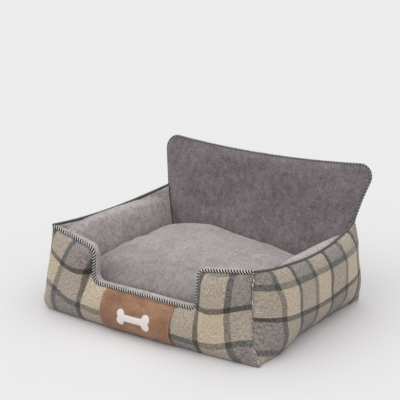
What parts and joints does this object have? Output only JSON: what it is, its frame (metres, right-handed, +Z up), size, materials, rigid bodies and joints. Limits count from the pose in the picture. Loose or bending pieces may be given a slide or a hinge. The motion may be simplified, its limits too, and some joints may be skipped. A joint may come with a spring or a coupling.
{
  "type": "pet bed",
  "caption": "Rectangular padded pet bed with low walls, a scooped front entry, a tall leaning backrest with piped edges and a loose lift-out cushion.",
  "frame": {"origin": "middle of the underside, on the floor", "axes": "+X to the right as seen from the entry, +Y towards the backrest, +Z up"},
  "size_m": [0.5472, 0.4884, 0.285],
  "materials": {
    "plaid_linen": "matte",
    "grey_plush": "matte",
    "dark_plush": "matte",
    "pad_foam": "matte",
    "fibre_fill": "matte",
    "base_cloth": "matte",
    "lining_cloth": "matte",
    "twist_cord": "matte",
    "tan_suede": "matte",
    "cream_thread": "matte",
    "zip_tape": "matte",
    "zip_nylon": "satin",
    "zip_metal": "satin"
  },
  "bodies": {
    "bed": {"base_bottom_cloth": "base_cloth", "base_pad": "pad_foam", "base_lining": "lining_cloth", "front_outer_cover": "plaid_linen", "front_inner_lining": "grey_plush", "front_foam": "pad_foam", "right_outer_cover": "plaid_linen", "right_inner_lining": "grey_plush", "right_foam": "pad_foam", "left_outer_cover": "plaid_linen", "left_inner_lining": "grey_plush", "left_foam": "pad_foam", "backrest_outer_cover": "plaid_linen", "backrest_inner_lining": "dark_plush", "backrest_foam": "pad_foam", "front_piping": "twist_cord", "right_piping": "twist_cord", "left_piping": "twist_cord", "backrest_piping": "twist_cord", "label_patch": "tan_suede", "label_stitching": "cream_thread", "label_emblem": "cream_thread", "cover_zip_tape": "zip_tape", "cover_zip_coil": "zip_nylon", "cover_zip_stops": "zip_metal"},
    "cover_zip_slider": {"cover_zip_slider": "zip_metal"},
    "cover_zip_pull": {"cover_zip_pull": "zip_metal"},
    "cushion": {"cushion_top_cover": "grey_plush", "cushion_bottom_cover": "lining_cloth", "cushion_filling": "fibre_fill", "cushion_zip_tape": "zip_tape", "cushion_zip_coil": "zip_nylon", "cushion_zip_stops": "zip_metal"},
    "cushion_zip_slider": {"cushion_zip_slider": "zip_metal"},
    "cushion_zip_pull": {"cushion_zip_pull": "zip_metal"}
  },
  "joints": [
    {"name": "cushion_lift", "type": "slide", "parent": "bed", "child": "cushion", "axis": [0, 0, 1], "range_m": [0, 0.25]},
    {"name": "cushion_zip_slide", "type": "slide", "parent": "cushion", "child": "cushion_zip_slider", "axis": [1, 0, 0], "range_m": [0, 0.2682]},
    {"name": "cushion_zip_pull_turn", "type": "hinge", "parent": "cushion_zip_slider", "child": "cushion_zip_pull", "pos_m": [-0.1341, 0.14899, 0.052], "axis": [0, 0, 1], "range_deg": [0, 180]},
    {"name": "cover_zip_slide", "type": "slide", "parent": "bed", "child": "cover_zip_slider", "axis": [1, 0, 0], "range_m": [0, 0.2882]},
    {"name": "cover_zip_pull_turn", "type": "hinge", "parent": "cover_zip_slider", "child": "cover_zip_pull", "pos_m": [-0.1441, 0.2056, 0.026], "axis": [0, 0, 1], "range_deg": [0, 180]}
  ]
}
